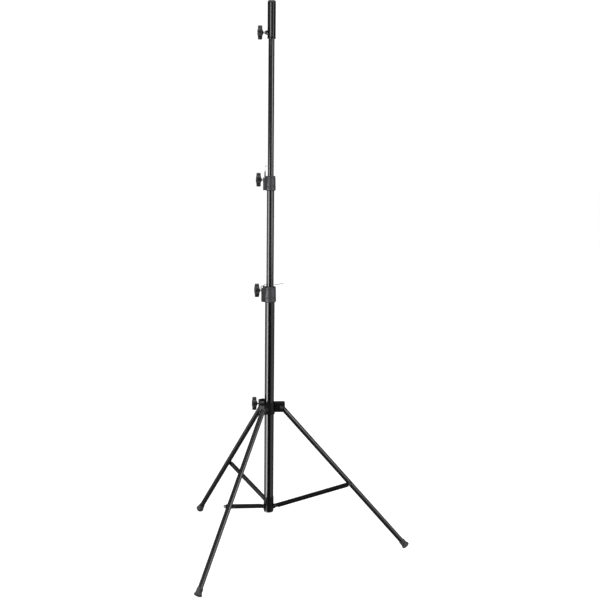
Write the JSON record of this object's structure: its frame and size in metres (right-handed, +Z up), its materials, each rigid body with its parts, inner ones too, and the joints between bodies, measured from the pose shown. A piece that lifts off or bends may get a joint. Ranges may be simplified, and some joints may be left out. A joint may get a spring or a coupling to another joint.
{
  "type": "telescopic stand",
  "caption": "Folding tripod stand with a two-section telescopic column, clamping knobs and a removable round pole adapter on top.",
  "frame": {"origin": "the point on the floor under the column's axis, with the stand open on its three feet", "axes": "+Z up along the column, +X along leg c, clamping knobs towards -X"},
  "size_m": [0.9768, 1.1224, 2.449],
  "materials": {
    "column_paint": "semi-gloss black powder coat",
    "leg_paint": "satin black powder coat",
    "hub_paint": "satin black powder coat",
    "brass": "turned brass",
    "zinc": "bright zinc plate",
    "black_steel": "blackened steel",
    "rubber": "moulded rubber",
    "collar_plastic": "fine-grained moulded nylon",
    "knob_plastic": "moulded nylon",
    "trim_plastic": "moulded polyethylene",
    "bush_plastic": "acetal"
  },
  "bodies": {
    "column": {"base_tube": "column_paint", "base_plug": "trim_plastic", "base_bracket": "hub_paint", "brace_pins": "black_steel", "lower_collar": "collar_plastic", "lower_bush": "bush_plastic", "lower_insert": "brass", "lower_pad": "brass", "lower_tether": "trim_plastic"},
    "hub": {"hub_body": "hub_paint", "hub_bush": "bush_plastic", "hub_boss": "black_steel", "hub_pad": "brass", "hub_bolts": "black_steel"},
    "leg_a": {"leg_tube_a": "leg_paint", "leg_eye_a": "trim_plastic", "foot_a": "rubber", "leg_rivet_a": "black_steel"},
    "leg_b": {"leg_tube_b": "leg_paint", "leg_eye_b": "trim_plastic", "foot_b": "rubber", "leg_rivet_b": "black_steel"},
    "leg_c": {"leg_tube_c": "leg_paint", "leg_eye_c": "trim_plastic", "foot_c": "rubber", "leg_rivet_c": "black_steel"},
    "brace_a": {"brace_a": "leg_paint", "brace_rivet_a": "black_steel"},
    "brace_b": {"brace_b": "leg_paint", "brace_rivet_b": "black_steel"},
    "brace_c": {"brace_c": "leg_paint", "brace_rivet_c": "black_steel"},
    "mid": {"mid_tube": "column_paint", "mid_guide": "bush_plastic", "upper_collar": "collar_plastic", "upper_bush": "bush_plastic", "upper_insert": "brass", "upper_pad": "brass", "upper_socket": "trim_plastic"},
    "top": {"top_tube": "column_paint", "top_guide": "bush_plastic"},
    "adapter": {"adapter_tube": "column_paint", "adapter_liner": "bush_plastic", "adapter_cap": "trim_plastic"},
    "hub_knob": {"hub_knob_head": "knob_plastic", "hub_knob_stud": "zinc", "hub_knob_cap": "knob_plastic"},
    "lower_knob": {"lower_knob_head": "knob_plastic", "lower_knob_stud": "zinc", "lower_knob_cap": "knob_plastic"},
    "upper_knob": {"upper_knob_head": "knob_plastic", "upper_knob_stud": "zinc", "upper_knob_cap": "knob_plastic"},
    "adapter_knob": {"adapter_knob_head": "knob_plastic", "adapter_knob_stud": "zinc", "adapter_knob_cap": "knob_plastic"},
    "upper_clip": {"upper_clip": "zinc"},
    "lower_clip": {"lower_clip": "zinc"}
  },
  "joints": [
    {"name": "hub_slide", "type": "slide", "parent": "column", "child": "hub", "axis": [0, 0, 1], "range_m": [0, 0.3685]},
    {"name": "leg_c_fold", "type": "hinge", "parent": "hub", "child": "leg_c", "pos_m": [0.055, 0, 0.671], "axis": [0, 1, 0], "range_deg": [0, 41.14]},
    {"name": "leg_a_fold", "type": "hinge", "parent": "hub", "child": "leg_a", "pos_m": [-0.0275, 0.04763, 0.671], "axis": [-0.866, -0.5, 0], "range_deg": [0, 41.14]},
    {"name": "leg_b_fold", "type": "hinge", "parent": "hub", "child": "leg_b", "pos_m": [-0.0275, -0.04763, 0.671], "axis": [0.866, -0.5, 0], "range_deg": [0, 41.14]},
    {"name": "brace_c_fold", "type": "hinge", "parent": "column", "child": "brace_c", "pos_m": [0.03, 0, 0.214], "axis": [0, 1, 0], "range_deg": [-69.61, 0]},
    {"name": "brace_a_fold", "type": "hinge", "parent": "column", "child": "brace_a", "pos_m": [-0.015, 0.02598, 0.214], "axis": [-0.866, -0.5, 0], "range_deg": [-69.61, 0]},
    {"name": "brace_b_fold", "type": "hinge", "parent": "column", "child": "brace_b", "pos_m": [-0.015, -0.02598, 0.214], "axis": [0.866, -0.5, 0], "range_deg": [-69.61, 0]},
    {"name": "mid_slide", "type": "slide", "parent": "column", "child": "mid", "axis": [0, 0, 1], "range_m": [-0.4, 0.3]},
    {"name": "top_slide", "type": "slide", "parent": "mid", "child": "top", "axis": [0, 0, 1], "range_m": [-0.53, 0.15]},
    {"name": "adapter_slide", "type": "slide", "parent": "top", "child": "adapter", "axis": [0, 0, 1], "range_m": [0, 0.1]},
    {"name": "hub_knob_turn", "type": "hinge", "parent": "hub", "child": "hub_knob", "pos_m": [0, 0, 0.687], "axis": [-1, 0, 0], "range_deg": [0, 720]},
    {"name": "lower_knob_turn", "type": "hinge", "parent": "column", "child": "lower_knob", "pos_m": [0, 0, 1.2], "axis": [-0.9986, -0.0523, 0], "range_deg": [0, 720]},
    {"name": "upper_knob_turn", "type": "hinge", "parent": "mid", "child": "upper_knob", "pos_m": [0, 0, 1.686], "axis": [-0.9976, 0.0698, 0], "range_deg": [0, 720]},
    {"name": "adapter_knob_turn", "type": "hinge", "parent": "adapter", "child": "adapter_knob", "pos_m": [0, 0, 2.313], "axis": [-0.9976, 0.0698, 0], "range_deg": [0, 720]},
    {"name": "upper_clip_swing", "type": "hinge", "parent": "mid", "child": "upper_clip", "pos_m": [-0.02375, 0.0187, 1.702], "axis": [0, 0, 1], "range_deg": [0, 120]},
    {"name": "lower_clip_swing", "type": "hinge", "parent": "column", "child": "lower_clip", "pos_m": [-0.02596, 0.01767, 1.216], "axis": [0, 0, 1], "range_deg": [0, 100]}
  ],
  "couplings": [
    {"joint": "leg_c_fold", "follows": "hub_slide", "rad_per_m": 1.946},
    {"joint": "leg_a_fold", "follows": "hub_slide", "rad_per_m": 1.946},
    {"joint": "leg_b_fold", "follows": "hub_slide", "rad_per_m": 1.946},
    {"joint": "brace_c_fold", "follows": "hub_slide", "rad_per_m": -3.2945},
    {"joint": "brace_a_fold", "follows": "hub_slide", "rad_per_m": -3.2945},
    {"joint": "brace_b_fold", "follows": "hub_slide", "rad_per_m": -3.2945}
  ]
}
